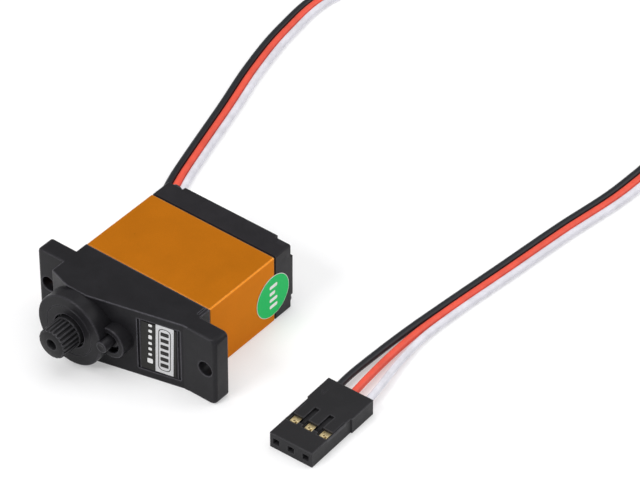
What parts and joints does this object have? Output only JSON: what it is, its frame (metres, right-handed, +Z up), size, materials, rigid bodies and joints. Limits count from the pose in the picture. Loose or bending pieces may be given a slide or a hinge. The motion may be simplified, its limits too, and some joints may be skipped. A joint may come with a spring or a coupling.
{
  "type": "servo motor",
  "caption": "Small geared position servo: flanged case with a motor, gear train, potentiometer and control board inside, a splined output shaft and a three-wire lead with a plug.",
  "frame": {"origin": "middle of the servo's underside as it lies on one large face, centred on the box around the servo without its lead", "axes": "+X along the case towards the ear away from the output shaft, -Y along the output shaft towards its tip, +Z up, across the case"},
  "size_m": [0.0686, 0.1317, 0.0118],
  "materials": {
    "top_case": "moulded black nylon, fine matt grain",
    "middle_case": "orange anodised, satin",
    "rear_cover": "moulded black nylon, fine matt grain",
    "case_screws": "blackened steel",
    "name_label": "printed film",
    "round_sticker": "printed film",
    "output_shaft": "dark engineering plastic",
    "third_gear": "natural acetal",
    "second_gear": "natural acetal",
    "first_gear": "natural acetal",
    "motor_pinion": "hobbed brass",
    "gear_pin": "ground steel",
    "bearing_outer_ring": "ground bearing steel",
    "bearing_inner_ring": "ground bearing steel",
    "bearing_balls": "polished bearing steel",
    "motor_can": "nickel-plated steel",
    "motor_magnets": "sintered ferrite",
    "motor_shaft": "ground steel",
    "armature_core": "stamped laminations",
    "armature_windings": "enamelled copper",
    "commutator": "copper",
    "motor_end_cap": "moulded nylon",
    "motor_terminals": "stamped bronze",
    "pot_housing": "moulded plastic",
    "pot_track": "printed carbon",
    "pot_shaft": "moulded plastic",
    "pot_wiper": "stamped bronze",
    "circuit_board": "solder mask on glass fibre",
    "control_chip": "moulded epoxy",
    "board_parts": "ceramic and epoxy",
    "motor_leads": "insulated wire",
    "pot_leads": "insulated wire",
    "lead_grommet": "moulded rubber",
    "lead_black": "soft wire insulation",
    "lead_red": "soft wire insulation",
    "lead_white": "soft wire insulation",
    "connector_housing": "moulded black nylon",
    "connector_contacts": "gold-plated phosphor bronze"
  },
  "bodies": {
    "case": {"top_case": "top_case", "middle_case": "middle_case", "rear_cover": "rear_cover", "case_screws": "case_screws", "name_label": "name_label", "round_sticker": "round_sticker", "gear_pin": "gear_pin", "bearing_outer_ring": "bearing_outer_ring", "motor_can": "motor_can", "motor_magnets": "motor_magnets", "motor_end_cap": "motor_end_cap", "motor_terminals": "motor_terminals", "pot_housing": "pot_housing", "pot_track": "pot_track", "circuit_board": "circuit_board", "control_chip": "control_chip", "board_parts": "board_parts", "motor_leads": "motor_leads", "pot_leads": "pot_leads", "lead_grommet": "lead_grommet", "lead_black": "lead_black", "lead_red": "lead_red", "lead_white": "lead_white", "connector_housing": "connector_housing", "connector_contacts": "connector_contacts"},
    "rotor": {"motor_shaft": "motor_shaft", "armature_core": "armature_core", "armature_windings": "armature_windings", "commutator": "commutator", "motor_pinion": "motor_pinion"},
    "first_gear": {"first_gear": "first_gear"},
    "second_gear": {"second_gear": "second_gear"},
    "third_gear": {"third_gear": "third_gear"},
    "output": {"output_shaft": "output_shaft", "pot_shaft": "pot_shaft", "pot_wiper": "pot_wiper", "bearing_inner_ring": "bearing_inner_ring"},
    "balls": {"bearing_balls": "bearing_balls"}
  },
  "joints": [
    {"name": "motor_spin", "type": "hinge", "parent": "case", "child": "rotor", "pos_m": [0.00535, -0.002, 0.0059], "axis": [0, -1, 0], "range_deg": [-6797, 6797]},
    {"name": "first_gear_spin", "type": "hinge", "parent": "case", "child": "first_gear", "pos_m": [0.00095, -0.003, 0.0059], "axis": [0, -1, 0], "range_deg": [-1748, 1748]},
    {"name": "second_gear_spin", "type": "hinge", "parent": "case", "child": "second_gear", "pos_m": [-0.00555, -0.004, 0.0059], "axis": [0, -1, 0], "range_deg": [-644, 644]},
    {"name": "third_gear_spin", "type": "hinge", "parent": "case", "child": "third_gear", "pos_m": [0.00095, -0.006, 0.0059], "axis": [0, -1, 0], "range_deg": [-238, 238]},
    {"name": "output_spin", "type": "hinge", "parent": "case", "child": "output", "pos_m": [-0.00555, -0.008, 0.0059], "axis": [0, -1, 0], "range_deg": [-90, 90]},
    {"name": "ball_travel", "type": "hinge", "parent": "case", "child": "balls", "pos_m": [-0.00555, -0.0104, 0.0059], "axis": [0, -1, 0], "range_deg": [-38.1, 38.1]}
  ],
  "couplings": [
    {"joint": "first_gear_spin", "follows": "motor_spin", "ratio": -0.25714},
    {"joint": "second_gear_spin", "follows": "motor_spin", "ratio": 0.094737},
    {"joint": "third_gear_spin", "follows": "motor_spin", "ratio": -0.034903},
    {"joint": "output_spin", "follows": "motor_spin", "ratio": 0.013239},
    {"joint": "ball_travel", "follows": "motor_spin", "ratio": 0.005598}
  ]
}
